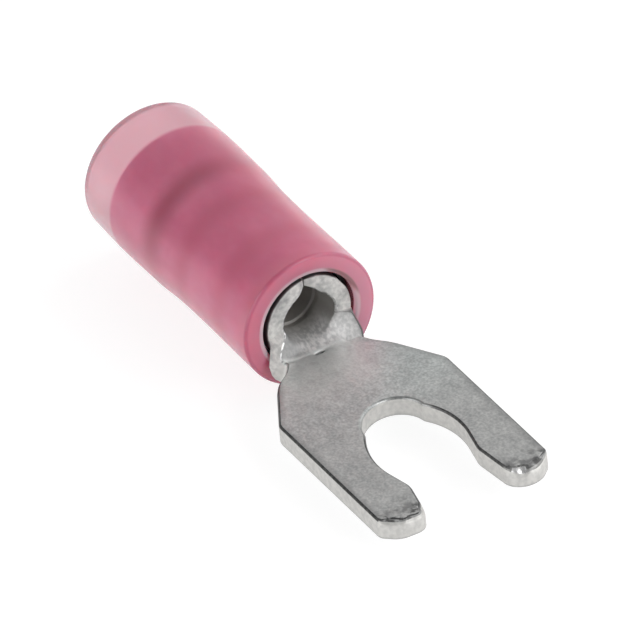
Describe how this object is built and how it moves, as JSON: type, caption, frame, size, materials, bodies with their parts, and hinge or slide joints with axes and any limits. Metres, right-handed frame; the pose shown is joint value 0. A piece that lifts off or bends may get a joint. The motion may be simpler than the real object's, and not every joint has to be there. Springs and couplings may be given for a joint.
{
  "type": "insulated fork terminal",
  "caption": "Uncrimped locking fork terminal: a tin-plated stamped fork with a pinched mouth and a rolled barrel, inside a belled translucent pink-red nylon sleeve.",
  "frame": {"origin": "centre of the wire entry, at the nylon sleeve's wire end, on the barrel's axis", "axes": "+X along the barrel from the wire end to the prong tips, +Z square to the fork's upper face, on the side that the barrel is rolled towards"},
  "size_m": [0.021, 0.0066, 0.0052],
  "materials": {
    "tinned_fork": "matt tin plate on copper, finely mottled, with lighter cut edges",
    "tinned_tube": "drawn tube, tin-plated, satin",
    "pink_nylon": "translucent pink-red nylon, smooth with a soft gloss"
  },
  "bodies": {
    "root": {"terminal": "tinned_fork", "support_sleeve": "tinned_tube", "insulating_sleeve": "pink_nylon"}
  },
  "joints": []
}
